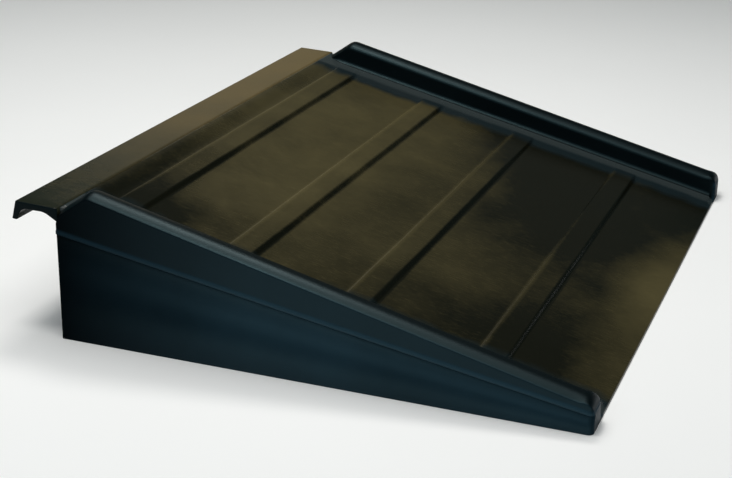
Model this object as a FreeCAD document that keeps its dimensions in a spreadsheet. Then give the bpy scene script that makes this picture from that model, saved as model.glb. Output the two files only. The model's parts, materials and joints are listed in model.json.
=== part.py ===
import FreeCAD, Part
import math
import os

import Sketcher

# A hook-on ramp: a ribbed deck between two curbs, carried by slotted webs inside a walled wedge.
# In the drawings x = 0 is the outer face of the high-end wall and +X runs down the ramp, y = 0 is the
# middle and the floor is z = 0. Every sub-part is then moved so that the origin lies on the floor
# under the middle of the whole ramp. Left and right are those of a person facing up the ramp.

SIZES = {
    # the wedge
    "base_length": 626,
    "ramp_width": 838,
    "lip_height": 160.3,
    "deck_high": 153.5,
    "toe_height": 3,
    "fold_back": 2,
    "skin": 6,
    # the hook lip
    "lip_reach": 55.4,
    "tip_flare": 5.8,
    "tip_depth": 22.5,
    "tip_wall": 6.5,
    "tip_slant": 0.5,
    "lip_skin": 9,
    "lip_inset": 5.5,
    "arch_depth": 10,
    "arch_length": 18,
    "arch_round": 14,
    "lip_round": 1.5,
    # the cross ribs and the raised margins of the deck
    "rib_rise": 4,
    "rib_foot": 36,
    "rib_crest": 28,
    "rib_1": 47.5,
    "rib_2": 191,
    "rib_3": 337,
    "rib_4": 496,
    "header_crest": 4,
    "header_foot": 28,
    "margin_width": 80,
    "margin_taper": 9,
    "margin_bevel": 3.6,
    "margin_slope": 16,
    # the curb rails
    "rim_high": 191.9,
    "rim_low": 35.9,
    "curb_width": 36,
    "curb_shoulder_x": 3,
    "curb_shoulder_z": 156,
    "curb_start_z": 147,
    "curb_full_x": 40,
    "curb_round": 6,
    "nose_round": 13,
    "corner_round": 7,
    # the seam where the skirts of the upper pieces drop over the lower walls
    "seam_high": 129,
    "seam_low": 21,
    "skirt_step": 0.7,
    "bead_height": 5,
    "bead_reach": 1.2,
    "bead_bevel": 1,
    # the lower walls, with a tongue behind the skirts and a flange at the floor
    "wall": 6,
    "tongue_rise": 8,
    "tongue_drop": 12,
    "tongue_start": 12,
    "tongue_end": 590,
    "end_tongue_top": 143,
    "flange_width": 25,
    "flange_low": 3,
    "flange_high": 8,
    "flange_start": 6.5,
    "flange_end": 550,
    "floor_gap": 0.2,
    "fit_gap": 0.3,
    # the inner webs and the toe bar
    "web": 6,
    "slot_gap": 0.3,
    "stringer_spacing": 210,
    "web_end": 560,
    "toe_end": 604,
    # the corner cleats
    "cleat_leg": 40,
    "cleat_wall": 4,
    "cleat_low": 16,
    "cleat_high": 96,
    # the rubber strips
    "strip_width": 18,
    "strip_inset": 3.5,
    # the screws
    "shank_radius": 2,
    "hole_radius": 2.1,
    "bite": 3.5,
    "head_radius": 4.5,
    "head_height": 2.5,
    "hook_screw_pitch": 128,
    "hook_screw_z": 136,
    "curb_screw_pitch": 40,
    "first_curb_screw": 60,
    "curb_screw_rise": 3.5,
    "first_cleat_screw": 36,
    "cleat_screw_pitch": 40,
    "cleat_screw_inset": 25,
}
RIB_COUNT = 4
HOOK_SCREW_COUNT = 6
CURB_SCREW_COUNT = 3
CLEAT_SCREW_COUNT = 2
SIDES = {"left": -1, "right": 1}
# Where sketch points and circles are first drawn, before their constraints move them.
ROUGH_SPREAD = 100
ROUGH_RADIUS = 10
TOLERANCE = 0.05

# Expressions that several sub-parts share. Distances named HALF or BACK are measured from y = 0.
SLOPE = "((Sizes.deck_high - Sizes.toe_height) / Sizes.base_length)"
RIM_FALL = "((Sizes.rim_high - Sizes.rim_low) / Sizes.base_length)"
SEAM_FALL = "((Sizes.seam_high - Sizes.seam_low) / Sizes.base_length)"
SKIN_DROP = f"(Sizes.skin * sqrt(1 + {SLOPE} ^ 2))"
RAMP_HALF = "(Sizes.ramp_width / 2)"
WALL_HALF = f"({RAMP_HALF} - Sizes.skirt_step)"
SKIRT_BACK = f"({RAMP_HALF} - Sizes.skin)"
WALL_BACK = f"({WALL_HALF} - Sizes.wall)"
TONGUE_BACK = f"({SKIRT_BACK} - Sizes.wall)"
DECK_HALF = f"({TONGUE_BACK} - Sizes.fit_gap)"
FLANGE_BACK = f"({WALL_BACK} - Sizes.flange_width)"
HOOK_BACK_X = "(Sizes.skin - Sizes.skirt_step)"
TONGUE_X = f"({HOOK_BACK_X} + Sizes.wall)"

document = FreeCAD.newDocument("RampLeveler")
sub_parts = []


def deck_top(x):
    """Height of the deck's low areas at x."""
    return f"(Sizes.deck_high - {x} * {SLOPE})"


def deck_under(x):
    """Height of the deck's underside at x."""
    return f"({deck_top(x)} - {SKIN_DROP})"


def margin_top(x):
    """Height of the raised margins and rib crests at x."""
    return f"({deck_top(x)} + Sizes.rib_rise)"


def rim(x):
    """Height of a curb's top at x."""
    return f"(Sizes.rim_high - {x} * {RIM_FALL})"


def seam(x):
    """Height of the seam on the side walls at x."""
    return f"(Sizes.seam_high - {x} * {SEAM_FALL})"


def rib_middle(index):
    return f"Sizes.rib_{index + 1}"


def make_sheet():
    sheet = document.addObject("Spreadsheet::Sheet", "Sizes")
    for row, (name, value) in enumerate(SIZES.items(), start=1):
        sheet.set(f"A{row}", name)
        sheet.set(f"B{row}", str(value))
        sheet.setAlias(f"B{row}", name)
    document.recompute()


def make_body(label):
    """An empty body, moved so that the origin is under the middle of the whole ramp."""
    body = document.addObject("PartDesign::Body", label)
    body.Label = label
    middle = "(Sizes.lip_reach + Sizes.tip_flare - Sizes.base_length) / 2"
    body.setExpression("Placement.Base.x", middle)
    sub_parts.append(body)
    return body


def add_sketch(body, role, offset="0"):
    """A sketch on one of the body's own origin planes, moved along the plane's normal."""
    sketch = body.newObject("Sketcher::SketchObject", f"{body.Label}_sketch")
    plane = next(item for item in body.Origin.OriginFeatures if item.Role == role)
    sketch.AttachmentSupport = (plane, "")
    sketch.MapMode = "FlatFace"
    sketch.setExpression("AttachmentOffset.Base.z", offset)
    return sketch


def constrain(sketch, expression, *constraint):
    index = sketch.addConstraint(Sketcher.Constraint(*constraint))
    sketch.setExpression(f"Constraints[{index}]", expression)


def pin(sketch, geometry, vertex, start, spot):
    """Hold a sketch point, now at start, at a pair of expressions."""
    constrain(sketch, spot[0], "DistanceX", -1, 1, geometry, vertex, start.x)
    constrain(sketch, spot[1], "DistanceY", -1, 1, geometry, vertex, start.y)


def add_outline(sketch, corners):
    """A closed outline of straight lines through corners, each a pair of expressions."""
    first = sketch.GeometryCount
    count = len(corners)
    turns = [2 * math.pi * index / count for index in range(count + 1)]
    starts = [ROUGH_SPREAD * FreeCAD.Vector(math.cos(turn), math.sin(turn), 0) for turn in turns]
    for index in range(count):
        sketch.addGeometry(Part.LineSegment(starts[index], starts[index + 1]), False)
    for index, spot in enumerate(corners):
        following = first + (index + 1) % count
        sketch.addConstraint(Sketcher.Constraint("Coincident", first + index, 2, following, 1))
        pin(sketch, first + index, 1, starts[index], spot)


def add_rectangle(sketch, low_x, high_x, low_y, high_y):
    add_outline(sketch, [(low_x, low_y), (high_x, low_y), (high_x, high_y), (low_x, high_y)])


def add_circles(sketch, centres, radius):
    for number, centre in enumerate(centres, start=1):
        middle = FreeCAD.Vector(ROUGH_SPREAD * number, ROUGH_SPREAD, 0)
        circle = Part.Circle(middle, FreeCAD.Vector(0, 0, 1), ROUGH_RADIUS)
        geometry = sketch.addGeometry(circle, False)
        pin(sketch, geometry, 3, middle, centre)
        constrain(sketch, radius, "Radius", geometry, ROUGH_RADIUS)


def extrude(body, kind, sketch, length, symmetric=False, backwards=False):
    """A Pad or Pocket of the sketch, tested to have changed the body's volume the right way."""
    document.recompute()
    before = body.Shape.Volume if body.Tip else 0
    feature = body.newObject(f"PartDesign::{kind}", f"{body.Label}_{kind.lower()}")
    feature.Profile = sketch
    feature.setExpression("Length", length)
    feature.SideType = "Symmetric" if symmetric else "One side"
    feature.Reversed = backwards
    document.recompute()
    growth = feature.Shape.Volume - before
    if growth == 0 or (kind == "Pad") != (growth > 0):
        raise RuntimeError(f"{feature.Label} changed the volume by {growth}")


def pad_across(body, corners, width):
    """Pad an x-z outline to a width centred on the middle of the ramp."""
    sketch = add_sketch(body, "XZ_Plane")
    add_outline(sketch, corners)
    extrude(body, "Pad", sketch, width, symmetric=True)


def shape_side(body, kind, side, outer, corners, depth):
    """Pad or pocket an x-z outline inwards, starting at the distance outer on one side."""
    sketch = add_sketch(body, "XZ_Plane", f"{-side} * {outer}")
    add_outline(sketch, corners)
    extrude(body, kind, sketch, depth, backwards=(side < 0) == (kind == "Pad"))


def along_x(body, kind, face_x, centres, radius, length, backwards):
    """Round pads or pockets along x, at y-z centres on the plane x = face_x."""
    sketch = add_sketch(body, "YZ_Plane", face_x)
    add_circles(sketch, centres, radius)
    extrude(body, kind, sketch, length, backwards=backwards)


def along_y(body, kind, side, face_y, centres, radius, length, outwards):
    """Round pads or pockets along y, at x-z centres at the distance face_y on one side."""
    sketch = add_sketch(body, "XZ_Plane", f"{-side} * {face_y}")
    add_circles(sketch, centres, radius)
    inwards_pad = (side < 0) == (kind == "Pad")
    extrude(body, kind, sketch, length, backwards=inwards_pad != outwards)


def blend_edges(body, kind, radius, wanted, second=None):
    """Fillet or chamfer the edges of the body's tip that wanted() picks, and test that it cut."""
    base = body.Tip
    edges = enumerate(base.Shape.Edges, start=1)
    names = [f"Edge{number}" for number, edge in edges if wanted(edge.BoundBox)]
    feature = body.newObject(f"PartDesign::{kind}", f"{body.Label}_{kind.lower()}")
    feature.Base = (base, names)
    feature.setExpression("Radius" if kind == "Fillet" else "Size", radius)
    if second:
        feature.ChamferType = "Two distances"
        feature.setExpression("Size2", second)
    document.recompute()
    if feature.Shape.isNull() or near(feature.Shape.Volume, base.Shape.Volume):
        raise RuntimeError(f"{feature.Label} changed nothing on {len(names)} edges")


def near(value, target):
    return abs(value - target) < TOLERANCE


def is_across(box):
    """True for the bounding box of an edge parallel to y."""
    return box.YLength > 10 * (box.XLength + box.ZLength)


def is_long(box):
    """True for the bounding box of an edge that runs down the ramp."""
    return box.XLength > SIZES["base_length"] / 2


def lies_at(box, distance):
    """True for the bounding box of an edge that keeps one distance from the middle of the ramp."""
    return near(abs(box.YMin), distance) and near(abs(box.YMax), distance)


def cut_low_corner(body, side, radius):
    """Round the upright low-end corner on one side, about a centre that all pieces share."""
    low = "Sizes.base_length"
    centre = (f"({low} - Sizes.corner_round)", f"{side} * ({RAMP_HALF} - Sizes.corner_round)")
    outside = (f"({low} + Sizes.corner_round)", f"{side} * ({RAMP_HALF} + Sizes.corner_round)")
    corners = [(outside[0], centre[1]), outside, (centre[0], outside[1])]
    reach = SIZES["corner_round"]
    along = FreeCAD.Vector(reach, 0, 0)
    across = FreeCAD.Vector(0, side * reach, 0)
    middle = FreeCAD.Vector(SIZES["base_length"], side * SIZES["ramp_width"] / 2, 0) - along - across
    tip_x = middle + along
    tip_y = middle + across
    sketch = add_sketch(body, "XY_Plane", "-Sizes.lip_height")
    circle = Part.Circle(middle, FreeCAD.Vector(0, 0, 1), reach)
    turn = (0, math.pi / 2) if side > 0 else (-math.pi / 2, 0)
    at_x, at_y = (1, 2) if side > 0 else (2, 1)
    sketch.addGeometry(Part.ArcOfCircle(circle, *turn), False)
    spots = [tip_x, tip_x + along, tip_x + along + across, tip_y + across, tip_y]
    for index in range(4):
        sketch.addGeometry(Part.LineSegment(spots[index], spots[index + 1]), False)
    sketch.addConstraint(Sketcher.Constraint("Coincident", 0, at_x, 1, 1))
    sketch.addConstraint(Sketcher.Constraint("Coincident", 4, 2, 0, at_y))
    for index in range(3):
        sketch.addConstraint(Sketcher.Constraint("Coincident", index + 1, 2, index + 2, 1))
        pin(sketch, index + 2, 1, spots[index + 1], corners[index])
    pin(sketch, 0, 3, middle, centre)
    constrain(sketch, radius, "Radius", 0, reach)
    constrain(sketch, centre[1], "DistanceY", -1, 1, 0, at_x, tip_x.y)
    constrain(sketch, centre[0], "DistanceX", -1, 1, 0, at_y, tip_y.x)
    extrude(body, "Pocket", sketch, "3 * Sizes.lip_height", backwards=True)


def add_margins(body):
    """The raised margins beside the curbs, each with a long shallow slope down to the deck."""
    start = "-Sizes.skirt_step"
    low = "Sizes.base_length"
    margin = [
        (start, deck_top(start)),
        (start, margin_top(start)),
        (low, margin_top(low)),
        (low, deck_top(low)),
    ]
    taper_end = f"({low} - Sizes.margin_taper)"
    beyond_curb = [(taper_end, margin_top(taper_end)), (low, margin_top(low)), (low, deck_top(low))]
    curb_inside = f"({RAMP_HALF} - Sizes.curb_width)"
    for side in SIDES.values():
        depth = f"Sizes.margin_width - ({RAMP_HALF} - {DECK_HALF})"
        shape_side(body, "Pad", side, DECK_HALF, margin, depth)
        depth = "Sizes.margin_width - Sizes.curb_width"
        shape_side(body, "Pocket", side, curb_inside, beyond_curb, depth)
    foot = SIZES["ramp_width"] / 2 - SIZES["margin_width"]
    toe_crest = SIZES["toe_height"] + SIZES["rib_rise"]

    def margin_crest(box):
        return is_long(box) and lies_at(box, foot) and box.ZMin > toe_crest

    blend_edges(body, "Chamfer", "Sizes.margin_slope", margin_crest, "Sizes.margin_bevel")


def add_ribs(body):
    """The raised header at the high end and the cross ribs, which run into the margins."""
    start = "-Sizes.skirt_step"
    ribs = add_sketch(body, "XZ_Plane")
    header = [
        (start, deck_top(start)),
        (start, margin_top(start)),
        ("Sizes.header_crest", margin_top("Sizes.header_crest")),
        ("Sizes.header_foot", deck_top("Sizes.header_foot")),
    ]
    add_outline(ribs, header)
    for index in range(RIB_COUNT):
        corners = []
        for end in (-1, 1):
            foot_x = f"({rib_middle(index)} + {end} * Sizes.rib_foot / 2)"
            crest_x = f"({rib_middle(index)} + {end} * Sizes.rib_crest / 2)"
            pair = [(foot_x, deck_top(foot_x)), (crest_x, margin_top(crest_x))]
            corners += pair if end < 0 else pair[::-1]
        add_outline(ribs, corners)
    crest_half = f"({RAMP_HALF} - Sizes.margin_width + Sizes.margin_slope)"
    extrude(body, "Pad", ribs, f"2 * {crest_half}", symmetric=True)


def make_deck_panel():
    """The sloping sheet, its raised margins and header, and its four raised cross ribs."""
    body = make_body("deck_panel")
    start = "-Sizes.skirt_step"
    low = "Sizes.base_length"
    underside_end = f"(Sizes.deck_high - {SKIN_DROP}) / {SLOPE}"
    sheet = [
        (start, deck_top(start)),
        (low, deck_top(low)),
        (low, "0"),
        (underside_end, "0"),
        (start, deck_under(start)),
    ]
    pad_across(body, sheet, f"2 * {DECK_HALF}")
    add_margins(body)
    add_ribs(body)


def round_lip(body):
    """Fillet the two inner corners under the lip and its outer top edge."""
    reach = SIZES["lip_reach"]
    height = SIZES["lip_height"]
    under_height = height - SIZES["lip_skin"]

    def arch(box):
        beyond_wall = box.XMin < -SIZES["skirt_step"] - TOLERANCE
        return is_across(box) and beyond_wall and near(box.ZMax, under_height)

    def outer_edge(box):
        return is_across(box) and near(box.XMin, -reach) and near(box.ZMax, height)

    blend_edges(body, "Fillet", "Sizes.arch_round", arch)
    blend_edges(body, "Fillet", "Sizes.lip_round", outer_edge)


def make_hook_lip():
    """The lip that hooks over a platform's edge, and the skirt that it turns down into."""
    body = make_body("hook_lip")
    butt = "-Sizes.skirt_step"
    fold = "-Sizes.fold_back"
    under = "(Sizes.lip_height - Sizes.lip_skin)"
    tip_low = "(Sizes.lip_height - Sizes.tip_depth)"
    tip_out = "-(Sizes.lip_reach + Sizes.tip_flare)"
    tip_in = f"({tip_out} + Sizes.tip_wall)"
    lip = [
        (butt, margin_top(butt)),
        (fold, margin_top(fold)),
        ("-Sizes.lip_reach", "Sizes.lip_height"),
        (tip_out, tip_low),
        (tip_in, f"{tip_low} - Sizes.tip_slant"),
        (f"{tip_in} + Sizes.tip_flare", under),
        (f"{butt} - Sizes.arch_length", under),
        (butt, f"{under} - Sizes.arch_depth"),
    ]
    pad_across(body, lip, f"2 * ({RAMP_HALF} - Sizes.lip_inset)")
    round_lip(body)
    skirt = [
        (butt, deck_under(butt)),
        (butt, "Sizes.seam_high"),
        (HOOK_BACK_X, "Sizes.seam_high"),
        (HOOK_BACK_X, deck_under(HOOK_BACK_X)),
    ]
    pad_across(body, skirt, f"2 * {DECK_HALF}")
    along_x(body, "Pocket", HOOK_BACK_X, hook_screw_spots(), "Sizes.hole_radius", "Sizes.bite", False)


def round_curb(body):
    """Round a curb's nose at the low end and the two long edges of its rim."""

    def nose(box):
        at_low_end = near(box.XMin, SIZES["base_length"])
        return is_across(box) and at_low_end and near(box.ZMax, SIZES["rim_low"])

    def rim_edges(box):
        return is_long(box) and box.ZMin > SIZES["seam_low"] + SIZES["curb_round"]

    blend_edges(body, "Fillet", "Sizes.nose_round", nose)
    blend_edges(body, "Fillet", "Sizes.curb_round", rim_edges)


def add_bead(body, side):
    """The raised bead along the lower edge of a curb's skirt."""
    start = "-Sizes.skirt_step"
    low = "Sizes.base_length"
    bead = [
        (start, seam(start)),
        (start, f"{seam(start)} + Sizes.bead_height"),
        (low, f"{seam(low)} + Sizes.bead_height"),
        (low, seam(low)),
    ]
    shape_side(body, "Pad", side, RAMP_HALF, bead, "Sizes.skin")

    def bead_edges(box):
        return is_long(box) and lies_at(box, SIZES["ramp_width"] / 2)

    blend_edges(body, "Chamfer", "Sizes.bead_bevel", bead_edges)


def hollow_curb(body, side):
    """Clear a curb for the tongue behind its skirt and for the deck's margin, and hollow its core."""
    low = "Sizes.base_length"
    full = "Sizes.curb_full_x"
    floor = "-Sizes.floor_gap"
    past = f"({low} + Sizes.fold_back)"
    post = "Sizes.tongue_start"
    end = "Sizes.tongue_end"
    behind_skirt = [
        (post, floor),
        (post, margin_top(post)),
        (end, margin_top(end)),
        (end, seam(end)),
        (past, seam(past)),
        (past, floor),
    ]
    shape_side(body, "Pocket", side, SKIRT_BACK, behind_skirt, "Sizes.wall + Sizes.fit_gap")
    before = "(-2 * Sizes.fold_back)"
    under_curb = [(before, floor), (before, margin_top(before)), (past, margin_top(past)), (past, floor)]
    inner = f"Sizes.curb_width - ({RAMP_HALF} - {DECK_HALF})"
    shape_side(body, "Pocket", side, DECK_HALF, under_curb, inner)
    core_end = f"({low} - Sizes.nose_round - Sizes.skin)"
    core = [
        (full, margin_top(full)),
        (full, f"{rim(full)} - {SKIN_DROP}"),
        (core_end, f"{rim(core_end)} - {SKIN_DROP}"),
        (core_end, margin_top(core_end)),
    ]
    shape_side(body, "Pocket", side, SKIRT_BACK, core, "Sizes.curb_width - 2 * Sizes.skin")


def make_curb_rail(name, side):
    """A curb with a hollow core, and the skirt that drops from it to the seam."""
    body = make_body(f"{name}_curb_rail")
    start = "-Sizes.skirt_step"
    low = "Sizes.base_length"
    full = "Sizes.curb_full_x"
    profile = [
        (start, seam(start)),
        (start, "Sizes.curb_start_z"),
        ("Sizes.curb_shoulder_x", "Sizes.curb_shoulder_z"),
        (full, rim(full)),
        (low, rim(low)),
        (low, seam(low)),
    ]
    outer = f"({RAMP_HALF} - Sizes.bead_reach)"
    shape_side(body, "Pad", side, outer, profile, "Sizes.curb_width - Sizes.bead_reach")
    round_curb(body)
    add_bead(body, side)
    hollow_curb(body, side)
    cut_low_corner(body, side, "Sizes.corner_round")
    spots = curb_screw_spots()
    along_y(body, "Pocket", side, SKIRT_BACK, spots, "Sizes.hole_radius", "Sizes.bite", True)


def make_side_panel(name, side):
    """A lower side wall with a tongue behind the skirt, a floor flange and a solid low end."""
    body = make_body(f"{name}_side_panel")
    low = "Sizes.base_length"
    plate = [
        ("0", "Sizes.floor_gap"),
        (low, "Sizes.floor_gap"),
        (low, "Sizes.seam_low"),
        ("0", "Sizes.seam_high"),
    ]
    shape_side(body, "Pad", side, WALL_HALF, plate, "Sizes.wall")
    start = "Sizes.tongue_start"
    end = "Sizes.tongue_end"
    tongue = [
        (start, f"{seam(start)} - Sizes.tongue_drop"),
        (end, f"{seam(end)} - Sizes.tongue_drop"),
        (end, f"{seam(end)} + Sizes.tongue_rise"),
        (start, f"{seam(start)} + Sizes.tongue_rise"),
    ]
    shape_side(body, "Pad", side, SKIRT_BACK, tongue, "Sizes.wall")
    flange = [
        ("Sizes.flange_start", "Sizes.flange_low"),
        ("Sizes.flange_end", "Sizes.flange_low"),
        ("Sizes.flange_end", "Sizes.flange_high"),
        ("Sizes.flange_start", "Sizes.flange_high"),
    ]
    shape_side(body, "Pad", side, WALL_BACK, flange, "Sizes.flange_width")
    low_end = [
        (end, "Sizes.floor_gap"),
        (low, "Sizes.floor_gap"),
        (low, seam(low)),
        (end, seam(end)),
    ]
    shape_side(body, "Pad", side, WALL_HALF, low_end, f"{WALL_HALF} - {TONGUE_BACK}")
    cut_low_corner(body, side, "Sizes.corner_round - Sizes.skirt_step")
    spots = curb_screw_spots()
    along_y(body, "Pocket", side, TONGUE_BACK, spots, "Sizes.hole_radius", "Sizes.wall", True)
    spots = side_cleat_spots()
    along_y(body, "Pocket", side, WALL_BACK, spots, "Sizes.hole_radius", "Sizes.bite", True)


def make_high_end_panel():
    """The lower end wall that stands against the platform, with its tongue and floor flange."""
    body = make_body("high_end_panel")
    plate = [
        ("0", "Sizes.floor_gap"),
        ("Sizes.wall", "Sizes.floor_gap"),
        ("Sizes.wall", seam("Sizes.wall")),
        ("0", "Sizes.seam_high"),
    ]
    pad_across(body, plate, f"2 * ({WALL_BACK} - Sizes.fit_gap)")
    tongue_low = "(Sizes.seam_high - Sizes.tongue_drop)"
    tongue = [
        (HOOK_BACK_X, tongue_low),
        (TONGUE_X, tongue_low),
        (TONGUE_X, "Sizes.end_tongue_top"),
        (HOOK_BACK_X, "Sizes.end_tongue_top"),
    ]
    pad_across(body, tongue, f"2 * ({TONGUE_BACK} - Sizes.wall)")
    flange_end = "(Sizes.flange_start + Sizes.flange_width)"
    flange = [
        (HOOK_BACK_X, "Sizes.flange_low"),
        (flange_end, "Sizes.flange_low"),
        (flange_end, "Sizes.flange_high"),
        (HOOK_BACK_X, "Sizes.flange_high"),
    ]
    pad_across(body, flange, f"2 * ({FLANGE_BACK} - Sizes.fit_gap)")
    along_x(body, "Pocket", TONGUE_X, hook_screw_spots(), "Sizes.hole_radius", "Sizes.wall", False)
    along_x(body, "Pocket", "Sizes.wall", end_cleat_spots(), "Sizes.hole_radius", "Sizes.bite", False)


def make_toe_bar():
    """The solid wedge that backs the thin low end of the deck."""
    body = make_body("toe_bar")
    start = "(Sizes.web_end + Sizes.fit_gap)"
    end = "Sizes.toe_end"
    pad_across(
        body,
        [(start, "0"), (end, "0"), (end, deck_under(end)), (start, deck_under(start))],
        f"2 * {DECK_HALF}",
    )


def slot_middle(x):
    """Height where a stringer and a bearer stop in each other's slots."""
    return f"(({deck_under(x)} + Sizes.flange_high) / 2)"


def make_stringer(label, across):
    """A wedge-shaped web along the ramp, slotted from above for the cross bearers."""
    body = make_body(label)
    start = f"({TONGUE_X} + Sizes.fit_gap)"
    end = "Sizes.web_end"
    clear_tongue = "(Sizes.seam_high - Sizes.tongue_drop - Sizes.fit_gap)"
    clear_flange = "(Sizes.flange_start + Sizes.flange_width + Sizes.fit_gap)"
    web = [
        (clear_flange, "Sizes.flange_low"),
        (end, "Sizes.flange_low"),
        (end, deck_under(end)),
        (start, deck_under(start)),
        (start, clear_tongue),
        ("Sizes.wall", clear_tongue),
        ("Sizes.wall", "Sizes.flange_high"),
        (clear_flange, "Sizes.flange_high"),
    ]
    offset = f"{-across} * Sizes.stringer_spacing"
    sketch = add_sketch(body, "XZ_Plane", offset)
    add_outline(sketch, web)
    extrude(body, "Pad", sketch, "Sizes.web", symmetric=True)
    slots = add_sketch(body, "XZ_Plane", offset)
    half = "(Sizes.web / 2 + Sizes.slot_gap)"
    for index in range(RIB_COUNT):
        middle = rib_middle(index)
        above = f"({margin_top(middle)})"
        add_rectangle(slots, f"{middle} - {half}", f"{middle} + {half}", slot_middle(middle), above)
    extrude(body, "Pocket", slots, "2 * Sizes.web", symmetric=True)


def make_cross_bearer(index):
    """A web across the ramp under one rib, slotted from below for the stringers."""
    body = make_body(f"cross_bearer_{index + 1}")
    middle = rib_middle(index)
    before = f"({middle} - Sizes.web / 2)"
    after = f"({middle} + Sizes.web / 2)"
    web = [
        (before, "Sizes.flange_high"),
        (after, "Sizes.flange_high"),
        (after, deck_under(after)),
        (before, deck_under(before)),
    ]
    pad_across(body, web, f"2 * ({DECK_HALF} - 2 * Sizes.fit_gap)")
    slots = add_sketch(body, "YZ_Plane", middle)
    half = "(Sizes.web / 2 + Sizes.slot_gap)"
    for across in (-1, 0, 1):
        line = f"{across} * Sizes.stringer_spacing"
        add_rectangle(slots, f"{line} - {half}", f"{line} + {half}", "0", slot_middle(middle))
    extrude(body, "Pocket", slots, "2 * Sizes.web", symmetric=True)


def make_corner_cleat(name, side):
    """An upright angle that ties the end wall to a side wall."""
    body = make_body(f"{name}_corner_cleat")
    wall_x = "Sizes.wall"
    leg_x = "(Sizes.wall + Sizes.cleat_leg)"
    thick_x = "(Sizes.wall + Sizes.cleat_wall)"
    wall_y = f"{side} * {WALL_BACK}"
    thick_y = f"{side} * ({WALL_BACK} - Sizes.cleat_wall)"
    leg_y = f"{side} * ({WALL_BACK} - Sizes.cleat_leg)"
    sketch = add_sketch(body, "XY_Plane", "Sizes.cleat_low")
    add_outline(
        sketch,
        [
            (wall_x, wall_y),
            (leg_x, wall_y),
            (leg_x, thick_y),
            (thick_x, thick_y),
            (thick_x, leg_y),
            (wall_x, leg_y),
        ],
    )
    extrude(body, "Pad", sketch, "Sizes.cleat_high - Sizes.cleat_low")
    end_spots = [spot for spot in end_cleat_spots() if spot[0].startswith(f"{side} *")]
    along_x(body, "Pocket", thick_x, end_spots, "Sizes.hole_radius", "Sizes.cleat_wall", False)
    face_y = f"({WALL_BACK} - Sizes.cleat_wall)"
    spots = side_cleat_spots()
    along_y(body, "Pocket", side, face_y, spots, "Sizes.hole_radius", "Sizes.cleat_wall", True)


def hook_screw_spots():
    """The y-z centres of the screws that tie the hook lip to the end wall."""
    middle = (HOOK_SCREW_COUNT - 1) / 2
    steps = [index - middle for index in range(HOOK_SCREW_COUNT)]
    return [(f"{step} * Sizes.hook_screw_pitch", "Sizes.hook_screw_z") for step in steps]


def curb_screw_spots():
    """The x-z centres of the screws that tie a curb's skirt to its side wall."""
    lines = [
        f"(Sizes.first_curb_screw + {index} * Sizes.curb_screw_pitch)"
        for index in range(CURB_SCREW_COUNT)
    ]
    return [(line, f"{seam(line)} + Sizes.curb_screw_rise") for line in lines]


def cleat_screw_heights():
    return [
        f"Sizes.first_cleat_screw + {index} * Sizes.cleat_screw_pitch"
        for index in range(CLEAT_SCREW_COUNT)
    ]


def end_cleat_spots():
    """The y-z centres of the cleat screws in the end wall."""
    line = f"({WALL_BACK} - Sizes.cleat_screw_inset)"
    return [(f"{side} * {line}", high) for side in SIDES.values() for high in cleat_screw_heights()]


def side_cleat_spots():
    """The x-z centres of the cleat screws in a side wall."""
    return [("Sizes.wall + Sizes.cleat_screw_inset", high) for high in cleat_screw_heights()]


def make_hook_screws():
    body = make_body("hook_screws")
    spots = hook_screw_spots()
    along_x(body, "Pad", TONGUE_X, spots, "Sizes.head_radius", "Sizes.head_height", False)
    along_x(body, "Pad", TONGUE_X, spots, "Sizes.shank_radius", "Sizes.wall + Sizes.bite", True)


def make_curb_screws():
    body = make_body("curb_screws")
    spots = curb_screw_spots()
    length = "Sizes.wall + Sizes.bite"
    for side in SIDES.values():
        along_y(body, "Pad", side, TONGUE_BACK, spots, "Sizes.head_radius", "Sizes.head_height", False)
        along_y(body, "Pad", side, TONGUE_BACK, spots, "Sizes.shank_radius", length, True)


def make_cleat_screws():
    body = make_body("cleat_screws")
    length = "Sizes.cleat_wall + Sizes.bite"
    face_x = "(Sizes.wall + Sizes.cleat_wall)"
    face_y = f"({WALL_BACK} - Sizes.cleat_wall)"
    spots = end_cleat_spots()
    along_x(body, "Pad", face_x, spots, "Sizes.head_radius", "Sizes.head_height", False)
    along_x(body, "Pad", face_x, spots, "Sizes.shank_radius", length, True)
    spots = side_cleat_spots()
    for side in SIDES.values():
        along_y(body, "Pad", side, face_y, spots, "Sizes.head_radius", "Sizes.head_height", False)
        along_y(body, "Pad", side, face_y, spots, "Sizes.shank_radius", length, True)


def make_strips(label, rectangles):
    """Rubber strips on the floor, each given by its low and high x and its low and high y."""
    body = make_body(label)
    sketch = add_sketch(body, "XY_Plane")
    for rectangle in rectangles:
        add_rectangle(sketch, *rectangle)
    extrude(body, "Pad", sketch, "Sizes.flange_low")


def make_all_strips():
    start = "(Sizes.flange_start + Sizes.flange_width + 2 * Sizes.strip_inset)"
    end = "(Sizes.flange_end - Sizes.strip_inset)"
    inner = f"({FLANGE_BACK} + Sizes.strip_inset)"
    for name, side in SIDES.items():
        edges = [f"{side} * {inner}", f"{side} * ({inner} + Sizes.strip_width)"]
        make_strips(f"{name}_foot_strip", [(start, end, *edges[::side])])
    end_start = "(Sizes.flange_start + Sizes.strip_inset)"
    end_span = (end_start, f"{end_start} + Sizes.strip_width")
    make_strips("high_end_foot_strip", [(*end_span, f"-{inner}", inner)])
    half = "Sizes.strip_width / 2"
    lines = [f"{across} * Sizes.stringer_spacing" for across in (-1, 0, 1)]
    webs = [(start, end, f"{line} - {half}", f"{line} + {half}") for line in lines]
    make_strips("stringer_foot_strips", webs)


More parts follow.
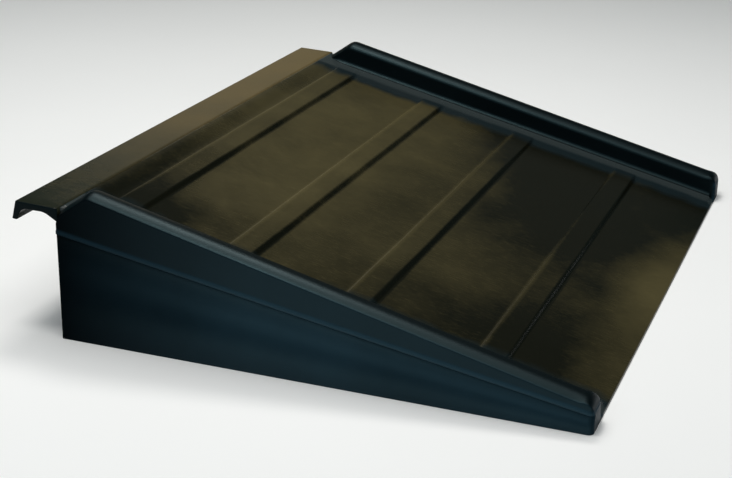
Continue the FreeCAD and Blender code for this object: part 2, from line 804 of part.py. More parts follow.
def make_ramp():
    make_sheet()
    make_deck_panel()
    make_hook_lip()
    for name, side in SIDES.items():
        make_curb_rail(name, side)
        make_side_panel(name, side)
        make_corner_cleat(name, side)
    make_high_end_panel()
    make_toe_bar()
    for label, across in (("left_stringer", -1), ("centre_stringer", 0), ("right_stringer", 1)):
        make_stringer(label, across)
    for index in range(RIB_COUNT):
        make_cross_bearer(index)
    make_hook_screws()
    make_curb_screws()
    make_cleat_screws()
    make_all_strips()


def test_document():
    """Stop if any object failed or any sub-part has no valid shape."""
    document.recompute()
    for item in document.Objects:
        if "Invalid" in item.State or "Error" in item.State:
            raise RuntimeError(f"{item.Label} failed: {item.State}")
    for sub_part in sub_parts:
        if sub_part.Shape.isNull() or not sub_part.Shape.isValid():
            raise RuntimeError(f"{sub_part.Label} has no valid shape")


def export_parts():
    os.makedirs("parts", exist_ok=True)
    for sub_part in sub_parts:
        sub_part.Shape.exportStep(f"parts/{sub_part.Label}.step")
        box = sub_part.Shape.BoundBox
        print(f"{sub_part.Label}: {len(sub_part.Shape.Solids)} solid(s), x {box.XMin:.1f} to"
              f" {box.XMax:.1f}, y {box.YMin:.1f} to {box.YMax:.1f}, z {box.ZMin:.1f} to {box.ZMax:.1f}")


make_ramp()
test_document()
export_parts()
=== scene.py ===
import json
import math

import bpy
import numpy as np
from mathutils import Matrix, Vector

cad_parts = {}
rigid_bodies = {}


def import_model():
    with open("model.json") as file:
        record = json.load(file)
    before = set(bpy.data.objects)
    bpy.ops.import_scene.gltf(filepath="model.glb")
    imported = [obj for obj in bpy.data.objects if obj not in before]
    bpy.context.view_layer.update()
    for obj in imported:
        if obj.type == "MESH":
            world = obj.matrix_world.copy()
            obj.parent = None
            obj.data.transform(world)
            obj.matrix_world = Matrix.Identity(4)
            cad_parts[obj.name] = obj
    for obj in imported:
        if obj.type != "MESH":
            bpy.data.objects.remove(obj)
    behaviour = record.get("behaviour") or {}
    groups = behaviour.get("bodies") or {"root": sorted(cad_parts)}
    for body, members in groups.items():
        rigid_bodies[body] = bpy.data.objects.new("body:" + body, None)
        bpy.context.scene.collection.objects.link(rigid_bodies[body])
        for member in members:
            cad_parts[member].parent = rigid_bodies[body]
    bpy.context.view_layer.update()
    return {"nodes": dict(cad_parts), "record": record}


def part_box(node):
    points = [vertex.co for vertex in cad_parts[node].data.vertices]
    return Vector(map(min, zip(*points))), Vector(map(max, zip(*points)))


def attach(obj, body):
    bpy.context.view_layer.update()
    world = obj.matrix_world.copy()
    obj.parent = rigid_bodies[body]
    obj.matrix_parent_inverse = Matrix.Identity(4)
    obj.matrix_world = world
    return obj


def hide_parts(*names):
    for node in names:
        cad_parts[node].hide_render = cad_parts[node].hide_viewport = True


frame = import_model()

# The drawing x runs down the ramp from the outer face of the end wall, as in the CAD source; heights
# are above the floor, and w is the distance inwards from the widest line of a side. All in metres.
FACE_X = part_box("high_end_panel")[0].x
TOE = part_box("deck_panel")[1].x - FACE_X
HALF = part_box("right_curb_rail")[1].y
LIP_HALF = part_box("hook_lip")[1].y
LIP_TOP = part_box("hook_lip")[1].z
DECK_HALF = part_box("deck_panel")[1].y
WALL_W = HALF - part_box("right_side_panel")[1].y
SKIRT_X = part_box("deck_panel")[0].x - FACE_X
FOLD_X = -0.002
LIP_X, LIP_UNDER = -0.0554, 0.1513

DECK_HIGH, TOE_TOP = 0.1535, 0.003
SLOPE = (DECK_HIGH - TOE_TOP) / TOE
SKIN = 0.006
RISE = 0.004
RIBS = (0.0475, 0.191, 0.337, 0.496)
RIB_CREST, RIB_FOOT = 0.028, 0.036
HEADER_CREST, HEADER_FOOT = 0.002, 0.029
MARGIN_CREST, MARGIN_FOOT = 0.062, 0.081
MARGIN_TAPER = 0.009

RIM_HIGH, RIM_LOW = 0.1919, 0.0359
CROWN = 0.0057
BEAD_REACH = 0.0012
CURB_INNER, CURB_DRAFT, FILLET = 0.0345, 0.0030, 0.0105
SEAM_HIGH, SEAM_LOW = 0.129, 0.021
CORNER = 0.007
NOSE = 0.0180
CROWN_STEPS = (-0.85, -0.7, -0.5, -0.3, -0.1, 0.1, 0.3, 0.48)

RIB_SOFTEN = 0.0010
BROAD_WAVE, SMALL_WAVE = 0.00022, 0.00012
CALM_START, CALM_WIDTH, CALM_TOE = 0.052, 0.025, 0.05
TOE_BLUNT, CURB_BLUNT = 0.0014, 0.0035
SKIRT_BACK, SKIRT_START_ROUND = 0.0048, 0.0010
LEAST_SKIRT, LEAST_FLANK = 0.0030, 0.0004
BEAD_LOW, BEAD_LOW_SHARE = 0.0036, 0.45
BEAD_HIGH, BEAD_HIGH_SHARE = 0.0058, 0.75
RIM_ROUND, RIM_ROUND_SHARE = 0.0075, 0.30
DRAFT_HEIGHT = 0.02
CURB_LAP, CURB_SINK, CURB_DEPTH, BACK_DEPTH = 0.001, 0.00005, 0.002, 0.003
LIP_EDGE_ROUND = 0.0015
WALL_THICK, WALL_LOW, WALL_LAP = 0.006, 0.0002, 0.0006
WALL_START_ROUND, WALL_FOOT_ROUND = 0.0008, 0.0003
TOE_BLOCK_X = 0.590
FLANGE_LOW, FLANGE_HIGH, FLANGE_REACH, FLANGE_LAP = 0.003, 0.008, 0.025, 0.001
FLANGE_XS = (0.0065, 0.2, 0.4, 0.550)


def deck_low(x):
    """Height of the deck's low areas."""
    return DECK_HIGH - x * SLOPE


def margin_top(x):
    """Height of the margins, the header and the rib crests."""
    return deck_low(x) + RISE


def rim(x):
    """Height of the long straight part of a curb's ridge."""
    return RIM_HIGH - x * (RIM_HIGH - RIM_LOW) / TOE


def seam(x):
    """Height of the line where a curb's skirt ends over the lower wall."""
    return SEAM_HIGH - x * (SEAM_HIGH - SEAM_LOW) / TOE


def smooth(t):
    """A rise from 0 to 1 with a long soft start and end."""
    t = np.clip(t, 0, 1)
    return t * t * t * (t * (6 * t - 15) + 10)


def ramped(t, soft=0.15):
    """A straight rise from 0 to 1 with softly rounded ends."""
    t = min(max(t, 0.0), 1.0)
    bend = 2 * soft * (1 - soft)
    if t < soft:
        return t * t / bend
    if t > 1 - soft:
        return 1 - (1 - t) ** 2 / bend
    return (t - soft / 2) / (1 - soft)


def waves(x, y):
    """The slight unevenness of a large formed sheet."""
    broad = BROAD_WAVE * np.sin(x * 31 + 2 * np.sin(y * 9)) * np.sin(y * 23 + 1.3)
    small = SMALL_WAVE * np.sin(x * 67 + y * 12) * np.cos(y * 51 - x * 8)
    return broad + small


def deck_surface(x, w):
    """Height of the deck's top at x and w."""
    high = smooth((HEADER_FOOT - x) / (HEADER_FOOT - HEADER_CREST))
    margin = ramped((MARGIN_FOOT - w) / (MARGIN_FOOT - MARGIN_CREST))
    margin *= smooth((TOE - x) / MARGIN_TAPER)
    high = high + (1 - high) * margin
    for middle in RIBS:
        flank = (RIB_FOOT - RIB_CREST) / 2 + 2 * RIB_SOFTEN
        rib = smooth((RIB_FOOT / 2 + RIB_SOFTEN - abs(x - middle)) / flank)
        high = high + (1 - high) * rib
    return deck_low(x) + RISE * float(high)


def new_object(name, vertices, faces, replaced=None):
    """A smooth piece of the shell on the root body, standing in for a CAD node if one is named."""
    mesh = bpy.data.meshes.new(name)
    mesh.from_pydata([(v[0] + FACE_X, v[1], v[2]) for v in vertices], [], faces)
    mesh.validate()
    mesh.update()
    made = bpy.data.objects.new(name, mesh)
    bpy.context.scene.collection.objects.link(made)
    for polygon in mesh.polygons:
        polygon.use_smooth = True
    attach(made, "root")
    if replaced:
        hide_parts(replaced)


def loft(rings):
    """Vertices and faces of a closed tube through rings of equal count, with its ends closed."""
    count = len(rings[0])
    vertices = [tuple(p) for ring in rings for p in ring]
    faces = []
    for i in range(len(rings) - 1):
        for j in range(count):
            k = (j + 1) % count
            faces.append((i * count + j, i * count + k, (i + 1) * count + k, (i + 1) * count + j))
    faces.append(tuple(range(count))[::-1])
    last = (len(rings) - 1) * count
    faces.append(tuple(range(last, last + count)))
    return vertices, faces


def rounded(points, radii, steps=6):
    """A polygon with each corner of a radius above zero replaced by an arc."""
    out = []
    count = len(points)
    for i in range(count):
        here = Vector(points[i])
        before = Vector(points[i - 1]) - here
        after = Vector(points[(i + 1) % count]) - here
        if radii[i] <= 0:
            out.append(tuple(here))
            continue
        a, b = before.normalized(), after.normalized()
        angle = min(a.angle(b), math.pi - 1e-4)
        reach = min(radii[i] / math.tan(angle / 2), 0.49 * before.length, 0.49 * after.length)
        radius = reach * math.tan(angle / 2)
        centre = here + (a + b).normalized() * (radius / math.sin(angle / 2))
        start, end = here + a * reach - centre, here + b * reach - centre
        sweep = start.angle_signed(end)
        for step in range(steps + 1):
            turn = sweep * step / steps
            c, d = math.cos(turn), math.sin(turn)
            out.append((centre.x + start.x * c + start.y * d, centre.y - start.x * d + start.y * c))
    return out


def stations(low, high, step, fine):
    """Sorted values from low to high, every step, plus fine ones given as (low, high, count)."""
    values = list(np.arange(low, high, step)) + [high]
    for a, b, count in fine:
        values += list(np.linspace(a, b, count))
    values = sorted(v for v in values if low - 1e-9 <= v <= high + 1e-9)
    kept = [values[0]]
    for v in values[1:]:
        if v - kept[-1] > 1.5e-4:
            kept.append(v)
    kept[-1] = high
    return [float(v) for v in kept]


def toe_fan(radius, count):
    """Values that close in on the low end as a quarter circle does."""
    return [TOE - radius * (1 - math.sin(math.pi / 2 * k / count)) for k in range(count + 1)]


def corner_inset(x, radius):
    """How far a plan corner of the radius has turned in from a side at x."""
    over = min(max(x - (TOE - radius), 0), radius)
    return radius - math.sqrt(radius * radius - over * over)


def start_inset(x, start, radius):
    """The same at the high end, from where the piece starts."""
    under = min(max(start + radius - x, 0), radius)
    return radius - math.sqrt(radius * radius - under * under)


RIDGE = rounded(
    [
        (SKIRT_X, 0.0),
        (SKIRT_X, 0.147),
        (0.003, 0.156),
        (0.040, rim(0.040)),
        (TOE, rim(TOE)),
        (TOE, 0.0),
    ],
    [0, 0.0012, 0.006, 0.012, NOSE, 0],
    16,
)[1:-1]


def ridge(x):
    """Height of a curb's ridge: a bevelled high end, a long straight rim and a rounded nose."""
    return float(np.interp(x, [p[0] for p in RIDGE], [p[1] for p in RIDGE]))


def deck_stations():
    """The deck's x and y values, closer together on the flanks of the bands and margins."""
    fine = [(SKIRT_X, 0.030, 22), (TOE - 0.012, TOE, 20)]
    for middle in RIBS:
        for side in (-1, 1):
            edge = middle + side * (RIB_FOOT + RIB_CREST) / 4
            fine.append((edge - 0.0050, edge + 0.0050, 19))
    slopes = [(s * HALF - s * MARGIN_FOOT, s * HALF - s * MARGIN_CREST) for s in (-1, 1)]
    ys = stations(-DECK_HALF, DECK_HALF, 0.012, [(min(s), max(s), 17) for s in slopes])
    return stations(SKIRT_X, TOE, 0.009, fine), ys


def sway(x, y):
    """The deck's waves, calmed towards the low end and the curbs."""
    calm = min(1, (TOE - x) / CALM_TOE)
    beside_curb = float(smooth((HALF - abs(y) - CALM_START) / CALM_WIDTH))
    return float(waves(x, y)) * calm * beside_curb


def make_deck():
    xs, ys = deck_stations()
    skin = SKIN * math.sqrt(1 + SLOPE * SLOPE)
    rings = []
    for x in xs:
        drop = corner_inset(x, TOE_BLUNT)
        ring = [(x, y, deck_surface(x, HALF - abs(y)) + sway(x, y) - drop) for y in ys]
        ring += [(x, y, max(0.0, deck_low(x) - skin)) for y in ys[::-1]]
        rings.append(ring)
    new_object("deck", *loft(rings), "deck_panel")


def skirt_points(out, skirt, bottom, edge):
    """Points and radii of the outer face: the bead along the skirt's lower edge, then up to the rim."""
    height = edge - bottom
    bead_low = min(BEAD_LOW, BEAD_LOW_SHARE * height)
    bead_high = min(BEAD_HIGH, BEAD_HIGH_SHARE * height)
    points = [(skirt + SKIRT_BACK, bottom), (out, bottom)]
    points += [(out, bottom + bead_low), (skirt, bottom + bead_high), (skirt, edge)]
    return points, [0, 0.0014, 0.0014, 0.0024, 0.0018]


def inner_points(x, inner, edge, back):
    """Points and radii of the inner face, down to the fillet where it meets the deck."""
    base = min(deck_surface(x, CURB_INNER + CURB_DRAFT + FILLET), edge - LEAST_FLANK)
    height = edge - base
    foot = CURB_INNER + CURB_DRAFT * min(1, height / DRAFT_HEIGHT)
    reach = foot + FILLET + CURB_LAP
    points = [(inner, edge), (foot, base), (reach, base - CURB_SINK)]
    points += [(reach, base - CURB_DEPTH), (back, base - BACK_DEPTH)]
    return points, [min(RIM_ROUND, RIM_ROUND_SHARE * height), FILLET, 0, 0, 0]


def curb_section(x):
    """Points (w, z) of a curb at x, from the back of its skirt's lower edge and round its rim."""
    out = max(corner_inset(x, CORNER), start_inset(x, SKIRT_X, SKIRT_START_ROUND))
    skirt = out + BEAD_REACH * min(1, 1.0 - 0.7 * out / CORNER)
    inner = CURB_INNER - corner_inset(x, CURB_BLUNT)
    bottom = seam(x)
    sag = CROWN * min(1, max(0.15, (TOE - x) / NOSE))
    edge = max(ridge(x) - sag, bottom + LEAST_SKIRT)
    half, middle = (inner - skirt) / 2, (inner + skirt) / 2
    crown = [(middle + half * t, edge + sag * (1 - t * t)) for t in CROWN_STEPS]
    outer, outer_radii = skirt_points(out, skirt, bottom, edge)
    inward, inward_radii = inner_points(x, inner, edge, skirt + SKIRT_BACK)
    return rounded(outer + crown + inward, outer_radii + [0] * len(crown) + inward_radii, 7)


def make_curb(name, side):
    fine = [(SKIRT_X, 0.008, 22), (0.008, 0.052, 20)]
    xs = stations(SKIRT_X, TOE, 0.010, fine + [(v, v, 1) for v in toe_fan(0.012, 22)])
    rings = []
    for x in xs:
        ring = [(x, side * (HALF - w), z) for w, z in curb_section(x)]
        rings.append(ring if side < 0 else ring[::-1])
    new_object(f"{name}_curb", *loft(rings), f"{name}_curb_rail")


def lip_outline():
    """The lip's section (x, z): along its top, round the hook's tip and back underneath."""
    hook = [
        (SKIRT_X, margin_top(SKIRT_X)),
        (FOLD_X - 0.004, margin_top(FOLD_X) + 0.0002),
        (LIP_X, LIP_TOP),
        (LIP_X - 0.0058, LIP_TOP - 0.0225),
        (LIP_X + 0.0007, LIP_TOP - 0.0230),
        (LIP_X + 0.0065, LIP_UNDER),
        (SKIRT_X - 0.018, LIP_UNDER),
        (SKIRT_X, LIP_UNDER - 0.010),
    ]
    return np.array(rounded(hook, [0, 0.008, 0.0015, 0.0015, 0.0015, 0.014, 0.022, 0], 9))


def make_lip():
    """The lip, its side edges rounded by moving the section inwards, and the skirt under it."""
    flat = lip_outline()
    tangent = np.roll(flat, -1, 0) - np.roll(flat, 1, 0)
    normal = np.stack([tangent[:, 1], -tangent[:, 0]], 1)
    normal /= np.linalg.norm(normal, axis=1)[:, None]
    turns = np.linspace(0, math.pi / 2, 6)
    edge = LIP_EDGE_ROUND
    end = [(-LIP_HALF + edge * (1 - math.cos(t)), edge * (1 - math.sin(t))) for t in turns]
    middle = [(y, 0.0) for y in np.arange(-LIP_HALF + 0.02, LIP_HALF - 0.019, 0.03)]
    rings = []
    for y, inset in end + middle + [(-y, inset) for y, inset in end[::-1]]:
        moved = flat - normal * inset
        rings.append([(px, y, pz) for px, pz in moved])
    new_object("lip", *loft(rings), "hook_lip")
    make_lip_skirt()


def make_lip_skirt():
    skirt = rounded(
        [(SKIRT_X, 0.150), (SKIRT_X, SEAM_HIGH), (0.0053, SEAM_HIGH), (0.0053, 0.150)],
        [0, 0.0012, 0.001, 0],
        5,
    )
    rings = [[(px, y, pz) for px, pz in skirt] for y in (-DECK_HALF, DECK_HALF)]
    new_object("lip_skirt", *loft(rings))


def make_wall(name, side):
    """A lower side wall, thicker behind its low end."""
    xs = stations(0.0, TOE, 0.02, [(0, 0.003, 7)] + [(v, v, 1) for v in toe_fan(CORNER, 18)])
    rings = []
    for x in xs:
        turned = max(corner_inset(x, CORNER - WALL_W), start_inset(x, 0, WALL_START_ROUND))
        out = WALL_W + turned
        back = WALL_W + WALL_THICK if x < TOE_BLOCK_X else HALF - DECK_HALF
        top = seam(x) + WALL_LAP
        corners = [(back, WALL_LOW), (out, WALL_LOW), (out, top), (back, top)]
        section = rounded(corners, [0, WALL_FOOT_ROUND, 0, 0], 4)
        ring = [(x, side * (HALF - w), z) for w, z in section]
        rings.append(ring if side < 0 else ring[::-1])
    new_object(f"{name}_wall", *loft(rings), f"{name}_side_panel")


def make_flange(name, side):
    """The flange along the foot of a side wall."""
    start = WALL_W + WALL_THICK - FLANGE_LAP
    end = WALL_W + WALL_THICK + FLANGE_REACH
    corners = [(start, FLANGE_LOW), (end, FLANGE_LOW), (end, FLANGE_HIGH), (start, FLANGE_HIGH)]
    section = rounded(corners, [0, 0.0012, 0.0012, 0], 4)
    rings = [[(x, side * (HALF - w), z) for w, z in section] for x in FLANGE_XS]
    new_object(f"{name}_flange", *loft([r if side > 0 else r[::-1] for r in rings]))


# Stretch and share of the streaks, which on the deck and the lip are painted streaks of reflection.
STREAK_STRETCH = (9, 90, 60)
STREAK_SHARE = 0.30
CLOUD_SWING = 0.19
SHELL_LEVEL = 0.18
GRAIN_DEPTH, WAVE_DEPTH, WAVE_STRENGTH = 0.0004, 0.002, 0.10
BEAD_MIDDLE = 0.0030
# Length over which the painted sheen on the sides grows from the high end.
SHEEN_GROWTH = 0.24


def node(tree, kind, **values):
    """A shader node with its settings or its input values set by name."""
    made = tree.nodes.new(kind)
    for key, value in values.items():
        if hasattr(made, key):
            setattr(made, key, value)
        else:
            made.inputs[key.replace("_", " ")].default_value = value
    return made


def remap(tree, source, low, high, to_low=0.0, to_high=1.0):
    """A value taken from one range to another, held at its ends."""
    ranges = {"From_Min": low, "From_Max": high, "To_Min": to_low, "To_Max": to_high}
    made = node(tree, "ShaderNodeMapRange", **ranges)
    tree.links.new(source, made.inputs["Value"])
    return made.outputs["Result"]


def combine(tree, operation, first, second):
    """A sum of the Math node on two values, each a number or a socket."""
    made = node(tree, "ShaderNodeMath", operation=operation)
    for index, value in enumerate((first, second)):
        if isinstance(value, (int, float)):
            made.inputs[index].default_value = value
        else:
            tree.links.new(value, made.inputs[index])
    return made.outputs[0]


def patch(tree, place, centre, size):
    """1 at a centre in the object's own metres, falling softly to 0 at the given half sizes."""
    moved = node(tree, "ShaderNodeMapping", vector_type="TEXTURE", Location=centre, Scale=size)
    tree.links.new(place, moved.inputs["Vector"])
    ball = node(tree, "ShaderNodeTexGradient", gradient_type="SPHERICAL")
    tree.links.new(moved.outputs["Vector"], ball.inputs["Vector"])
    return remap(tree, ball.outputs["Fac"], 0.0, 0.75)


def noise(tree, place, scale, detail, roughness, distortion=0.0):
    values = {"Scale": scale, "Detail": detail, "Roughness": roughness, "Distortion": distortion}
    made = node(tree, "ShaderNodeTexNoise", **values)
    tree.links.new(place, made.inputs["Vector"])
    return made.outputs["Fac"]


def film_and_sheen_amount(tree, place, level, patches):
    """How much a place is filmed, 0 to 1: clouds about a level, streaks and patches. On the deck and
    the lip this is painted reflection; on the other pieces it is uneven tone and wear.
    """
    cloud = noise(tree, place, 6.5, 5.0, 0.60, 0.15)
    stretch = node(tree, "ShaderNodeMapping", Scale=STREAK_STRETCH)
    tree.links.new(place, stretch.inputs["Vector"])
    streak = noise(tree, stretch.outputs["Vector"], 5.0, 8.0, 0.7)
    wear_and_sheen = remap(tree, cloud, 0.30, 0.72, level - CLOUD_SWING, level + CLOUD_SWING)
    wear_and_sheen = combine(tree, "ADD", wear_and_sheen, remap(tree, streak, 0.50, 0.78, 0.0, STREAK_SHARE))
    for centre, size, weight in patches:
        spot = combine(tree, "MULTIPLY", patch(tree, place, centre, size), weight)
        wear_and_sheen = combine(tree, "ADD", wear_and_sheen, spot)
    return remap(tree, wear_and_sheen, 0.0, 1.0)


def roughen(tree, place, shader, grain, depth):
    """A fine grain over slow waves, as one normal."""
    fine = node(tree, "ShaderNodeBump", Strength=depth, Distance=GRAIN_DEPTH)
    tree.links.new(noise(tree, place, grain, 3.0, 0.55), fine.inputs["Height"])
    wavy = node(tree, "ShaderNodeBump", Strength=WAVE_STRENGTH, Distance=WAVE_DEPTH)
    tree.links.new(noise(tree, place, 26.0, 2.0, 0.5), wavy.inputs["Height"])
    tree.links.new(fine.outputs["Normal"], wavy.inputs["Normal"])
    tree.links.new(wavy.outputs["Normal"], shader.inputs["Normal"])


def mix_in(tree, amount, first, second):
    """A mix of two colours by an amount; the first is a colour or a socket."""
    mixed = node(tree, "ShaderNodeMix", data_type="RGBA")
    tree.links.new(amount, mixed.inputs[0])
    if isinstance(first, tuple):
        mixed.inputs[6].default_value = (*first, 1)
    else:
        tree.links.new(first, mixed.inputs[6])
    mixed.inputs[7].default_value = (*second, 1)
    return mixed.outputs[2]


def plastic(
    name, clean, film_and_sheen, gloss, specular, tint=(1, 1, 1), grain=1300.0, depth=0.2, level=0.0, patches=()
):
    """Moulded plastic, its colour and roughness going from clean to filmed. On the deck and the lip the
    filmed colour is a painted reflection; on the other pieces it is uneven tone and wear.
    """
    material = bpy.data.materials.new(name)
    material.use_nodes = True
    tree = material.node_tree
    shader = tree.nodes["Principled BSDF"]
    shader.inputs["Specular IOR Level"].default_value = specular
    shader.inputs["Specular Tint"].default_value = (*tint, 1)
    place = node(tree, "ShaderNodeTexCoord").outputs["Object"]
    wear_and_sheen = film_and_sheen_amount(tree, place, level, patches)
    tree.links.new(mix_in(tree, wear_and_sheen, clean, film_and_sheen), shader.inputs["Base Color"])
    tree.links.new(remap(tree, wear_and_sheen, 0.0, 1.0, *gloss), shader.inputs["Roughness"])
    roughen(tree, place, shader, grain, depth)
    return material


def on_deck(x, y):
    """A place on the deck, for a patch."""
    return (x + FACE_X, y, deck_low(x))


def object_axes(tree):
    """The place in the object's own metres, and its X, its distance from the middle line and its Z."""
    place = node(tree, "ShaderNodeTexCoord").outputs["Object"]
    axes = node(tree, "ShaderNodeSeparateXYZ")
    tree.links.new(place, axes.inputs["Vector"])
    across = combine(tree, "ABSOLUTE", axes.outputs["Y"], 0.0)
    return place, axes.outputs["X"], across, axes.outputs["Z"]


def above_seam(tree, x, z):
    """The height above the middle of the bead along the seam."""
    gradient = (SEAM_HIGH - SEAM_LOW) / TOE
    fall = combine(tree, "MULTIPLY", combine(tree, "SUBTRACT", x, FACE_X), gradient)
    return combine(tree, "SUBTRACT", combine(tree, "ADD", z, fall), SEAM_HIGH + BEAD_MIDDLE)


def add_side_sheen(material, sheen_colour):
    """A thin bluish sheen painted on the outer faces of the sides and on the end faces, growing towards
    the low end, as painted reflection. A painted highlight runs along the seam's bead, the skirt above
    the seam gets less of the sheen as painted shade, and the shine is taken off towards the high end
    and off the end faces as painted shade.
    """
    tree = material.node_tree
    shader = tree.nodes["Principled BSDF"]
    place, x, across, z = object_axes(tree)
    toe = FACE_X + TOE
    ends = remap(tree, x, toe - 0.0050, toe - 0.0010)
    outer = combine(tree, "MAXIMUM", remap(tree, across, HALF - 0.0036, HALF - 0.0016), ends)
    down = remap(tree, x, FACE_X, FACE_X + SHEEN_GROWTH, 0.04, 1.0)
    uneven = remap(tree, noise(tree, place, 9.0, 6.0, 0.6), 0.3, 0.7, 0.72, 1.15)
    above = above_seam(tree, x, z)
    # Painted highlight along the seam's bead.
    line = remap(tree, combine(tree, "ABSOLUTE", above, 0.0), 0.0008, 0.0045, 0.26, 0.0)
    # Painted shade: less sheen on the skirt above the seam than on the wall below.
    band = remap(tree, above, -0.0040, 0.0040, 0.34, 0.20)
    body_sheen = combine(tree, "MULTIPLY", combine(tree, "MULTIPLY", down, uneven), band)
    amount = combine(tree, "MULTIPLY", outer, combine(tree, "ADD", body_sheen, line))
    under = shader.inputs["Base Color"].links[0].from_socket
    tree.links.new(mix_in(tree, amount, under, sheen_colour), shader.inputs["Base Color"])
    shadow = combine(tree, "MULTIPLY", outer, combine(tree, "SUBTRACT", 1.0, down))
    shadow = combine(tree, "MAXIMUM", shadow, combine(tree, "MULTIPLY", ends, 0.93))
    level = shader.inputs["Specular IOR Level"]
    tree.links.new(remap(tree, shadow, 0.0, 1.0, SHELL_LEVEL, 0.0), level)


def add_dark_edges(material, colour, low, high, slack, edge_level=None):
    """A second colour where the distance from the middle line grows from low to high."""
    tree = material.node_tree
    shader = tree.nodes["Principled BSDF"]
    place, _, across, _ = object_axes(tree)
    drift = remap(tree, noise(tree, place, 30.0, 4.0, 0.5), 0.3, 0.7, -slack, slack)
    edge = remap(tree, combine(tree, "ADD", across, drift), low, high)
    under = shader.inputs["Base Color"].links[0].from_socket
    tree.links.new(mix_in(tree, edge, under, colour), shader.inputs["Base Color"])
    if edge_level is not None:
        level = shader.inputs["Specular IOR Level"]
        tree.links.new(remap(tree, edge, 0.0, 1.0, level.default_value, edge_level), level)


# The shell is black plastic; the blue cast in its colours and its blue specular tint are painted cool
# light on the sides.
shell = plastic(
    "shell_plastic",
    (0.0007, 0.0014, 0.0018),
    (0.0026, 0.0048, 0.0058),
    (0.30, 0.44),
    0.30,
    (0.50, 0.90, 1.0),
    level=0.25,
)
# Painted reflection: a bluish sheen on the outer faces of the sides.
add_side_sheen(shell, (0.0230, 0.0600, 0.0880))
# The deck's tan filmed colour and its warm specular tint are a painted warm reflection on the glossy
# deck.
deck_skin = plastic(
    "deck_plastic",
    (0.0055, 0.0052, 0.0022),
    (0.0820, 0.0670, 0.0270),
    (0.20, 0.40),
    0.16,
    (1.0, 0.98, 0.9),
    level=0.40,
    patches=(
        # Painted reflection: lighter and darker blotches mirrored in the deck.
        (on_deck(0.022, -0.28), (0.060, 0.34, 0.2), -0.42),
        (on_deck(0.068, -0.34), (0.07, 0.16, 0.2), -0.50),
        (on_deck(0.12, 0.10), (0.12, 0.34, 0.2), 0.24),
        (on_deck(0.13, -0.32), (0.08, 0.12, 0.2), -0.10),
        (on_deck(0.20, -0.06), (0.09, 0.26, 0.2), 0.14),
        (on_deck(0.34, 0.00), (0.11, 0.60, 0.2), -0.14),
        (on_deck(0.36, -0.32), (0.12, 0.14, 0.2), -0.24),
        (on_deck(0.39, 0.28), (0.15, 0.22, 0.2), -0.45),
        (on_deck(0.50, 0.08), (0.15, 0.38, 0.2), -0.60),
        (on_deck(0.52, -0.30), (0.14, 0.18, 0.2), -0.50),
        (on_deck(0.61, 0.33), (0.09, 0.17, 0.2), -0.75),
        (on_deck(0.615, 0.00), (0.07, 0.17, 0.2), 0.60),
        (on_deck(0.60, -0.27), (0.06, 0.14, 0.2), 0.12),
        # Painted highlight and shade on the ribs: a faint lighter stripe over the first three, a bright
        # line along each up-slope flank and a dark line along each down-slope flank.
        *((on_deck(middle - 0.004, 0.0), (0.020, 3.0, 0.3), 0.07) for middle in RIBS[:3]),
        *((on_deck(middle - 0.0150, 0.0), (0.0062, 3.0, 0.3), 0.27) for middle in RIBS),
        *((on_deck(middle + 0.0165, 0.0), (0.0050, 3.0, 0.3), -0.45) for middle in RIBS),
    ),
)
# The lip's tan filmed colour and its warm specular tint are a painted warm reflection on its top,
# lighter towards the far side and darker towards the near side.
lip_skin = plastic(
    "lip_plastic",
    (0.012, 0.014, 0.008),
    (0.115, 0.085, 0.036),
    (0.26, 0.42),
    0.18,
    (1.0, 0.95, 0.85),
    level=0.50,
    patches=(
        ((LIP_X + FACE_X, 0.33, LIP_TOP), (0.2, 0.45, 0.2), 0.42),
        ((LIP_X + FACE_X, -0.42, LIP_TOP), (0.2, 0.40, 0.2), -0.50),
    ),
)
# Painted reflection along each side of the deck: a dark bluish band where the curb's black inner face
# is mirrored.
add_dark_edges(deck_skin, (0.0075, 0.0130, 0.0150), HALF - 0.096, HALF - 0.076, 0.006)
# Painted highlight: a lighter grey-blue band nearer the curb, along its fillet.
add_dark_edges(deck_skin, (0.0270, 0.0350, 0.0360), HALF - 0.068, HALF - 0.061, 0.001)
# The lip's side edges get a dark bluish colour in place of its top's painted reflection, with almost no
# shine; the blue is a painted cool cast.
add_dark_edges(lip_skin, (0.0040, 0.0085, 0.0100), LIP_HALF - 0.0014, LIP_HALF - 0.0006, 0.0, 0.03)
WEB_COLOURS = (0.012, 0.012, 0.0125), (0.030, 0.030, 0.030)
RUBBER_COLOURS = (0.010, 0.010, 0.010), (0.040, 0.038, 0.035)
ZINC_COLOURS = (0.45, 0.45, 0.46), (0.30, 0.30, 0.31)
webs = plastic("web_plastic", *WEB_COLOURS, (0.45, 0.7), 0.4, grain=700.0, depth=0.4, level=0.4)
rubber = plastic("rubber", *RUBBER_COLOURS, (0.7, 0.9), 0.3, grain=500.0, depth=0.6, level=0.4)
steel = plastic("zinc_steel", *ZINC_COLOURS, (0.25, 0.45), 0.5, grain=900.0, level=0.3)
steel.node_tree.nodes["Principled BSDF"].inputs["Metallic"].default_value = 1.0

make_deck()
make_lip()
for name, side in (("left", -1), ("right", 1)):
    make_curb(name, side)
    make_wall(name, side)
    make_flange(name, side)
FINISH_OF_PIECE = {"deck": deck_skin, "lip": lip_skin}
FINISH_OF_SLOT = {"shell": shell, "webs": webs, "rubber": rubber, "screws": steel}


def finish_all():
    """Puts a material on every piece, the CAD's own included."""
    slots = {part["node"]: part["material_slot"] for part in frame["record"]["subparts"]}
    for name, piece in frame["nodes"].items():
        piece.data.materials.clear()
        piece.data.materials.append(FINISH_OF_SLOT[slots[name]])
    for piece in bpy.context.scene.objects:
        if piece.type == "MESH" and not piece.data.materials:
            piece.data.materials.append(FINISH_OF_PIECE.get(piece.name, shell))


finish_all()


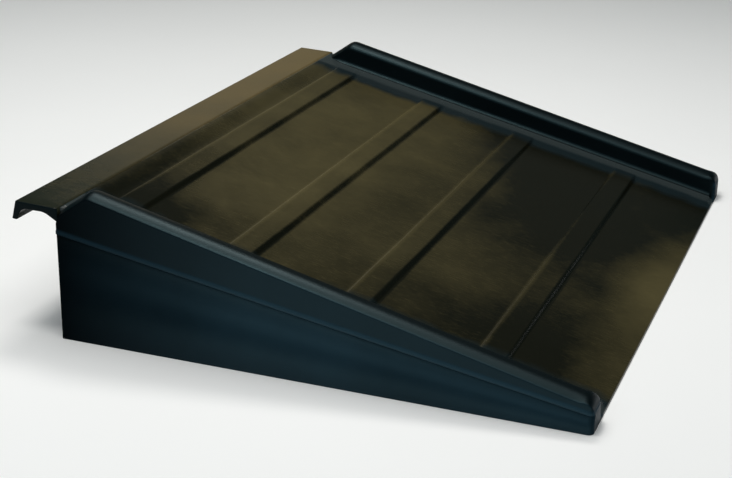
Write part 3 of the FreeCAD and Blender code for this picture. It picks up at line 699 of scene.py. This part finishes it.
FLOOR_HALF = 9.0
PAPER = (0.90, 0.90, 0.90), (0.94, 0.94, 0.94)


def make_floor():
    mesh = bpy.data.meshes.new("floor")
    h = FLOOR_HALF
    mesh.from_pydata([(-h, -h, 0), (h, -h, 0), (h, h, 0), (-h, h, 0)], [], [(0, 1, 2, 3)])
    floor = bpy.data.objects.new("floor", mesh)
    bpy.context.scene.collection.objects.link(floor)
    material = bpy.data.materials.new("floor_paper")
    material.use_nodes = True
    tree = material.node_tree
    shader = tree.nodes["Principled BSDF"]
    shader.inputs["Roughness"].default_value = 0.9
    shader.inputs["Specular IOR Level"].default_value = 0.1
    place = node(tree, "ShaderNodeTexCoord").outputs["Object"]
    grain = noise(tree, place, 2.0, 4.0, 0.5)
    tree.links.new(mix_in(tree, grain, *PAPER), shader.inputs["Base Color"])
    mesh.materials.append(material)


def softbox(name, where, aim, size, radiance, colour):
    """An area light of the given radiance, turned to face a point."""
    light = bpy.data.lights.new(name, "AREA")
    light.shape = "RECTANGLE"
    light.size, light.size_y = size
    light.color = colour
    light.energy = radiance * math.pi * size[0] * size[1]
    lamp = bpy.data.objects.new(name, light)
    bpy.context.scene.collection.objects.link(lamp)
    lamp.location = where
    lamp.rotation_euler = (Vector(aim) - Vector(where)).to_track_quat("-Z", "Y").to_euler()
    lamp.visible_camera = False


make_floor()
softbox("overhead", (0.0, -0.2, 2.5), (0.0, -0.2, 0.0), (3.2, 3.0), 1.75, (1.0, 0.99, 0.97))
softbox("near_core", (-0.30, -0.62, 2.35), (-0.30, -0.62, 0.0), (0.60, 0.40), 15.0, (1.0, 0.98, 0.94))
softbox("far_core", (-0.40, 0.75, 2.35), (-0.20, 0.2, 0.0), (0.80, 0.60), 9.0, (1.0, 0.98, 0.94))
softbox("warm_wall", (-0.45, 2.7, 1.25), (0, 0, 0.1), (1.8, 0.8), 0.06, (1.0, 0.85, 0.62))
softbox("cool_fill", (-0.5, -3.2, 1.95), (0, 0, 0.1), (2.6, 0.8), 1.8, (0.80, 0.91, 1.0))
softbox("rib_glow", (-1.75, 2.9, 0.95), (0, 0, 0.1), (1.0, 0.9), 0.42, (1.0, 0.88, 0.66))
world = bpy.data.worlds.new("studio")
bpy.context.scene.world = world
world.use_nodes = True
background = world.node_tree.nodes["Background"]
background.inputs["Color"].default_value = (0.45, 0.88, 1.0, 1)
background.inputs["Strength"].default_value = 0.05

LENS, SENSOR = 74.101, 36.0
AZIMUTH, ELEVATION, ROLL = math.radians(20.612), math.radians(20.554), math.radians(0.923)
DISTANCE = 1.5103
TARGET = Vector((FACE_X + 0.3921, -0.4650, 0.1976))


def add_camera():
    """The camera of the fit: about a target, by azimuth, elevation, roll and distance."""
    lens = bpy.data.cameras.new("camera")
    lens.sensor_width = SENSOR
    lens.lens = LENS
    camera = bpy.data.objects.new("camera", lens)
    bpy.context.scene.collection.objects.link(camera)
    level = math.cos(ELEVATION)
    back = Vector((math.sin(AZIMUTH) * level, -math.cos(AZIMUTH) * level, math.sin(ELEVATION)))
    right = (-back).cross(Vector((0, 0, 1))).normalized()
    up = right.cross(-back)
    c, d = math.cos(ROLL), math.sin(ROLL)
    right, up = c * right + d * up, c * up - d * right
    turned = Matrix((right, up, back)).transposed().to_4x4()
    camera.matrix_world = Matrix.Translation(TARGET + back * DISTANCE) @ turned
    bpy.context.scene.camera = camera


add_camera()
bpy.context.scene.view_settings.view_transform = "Standard"
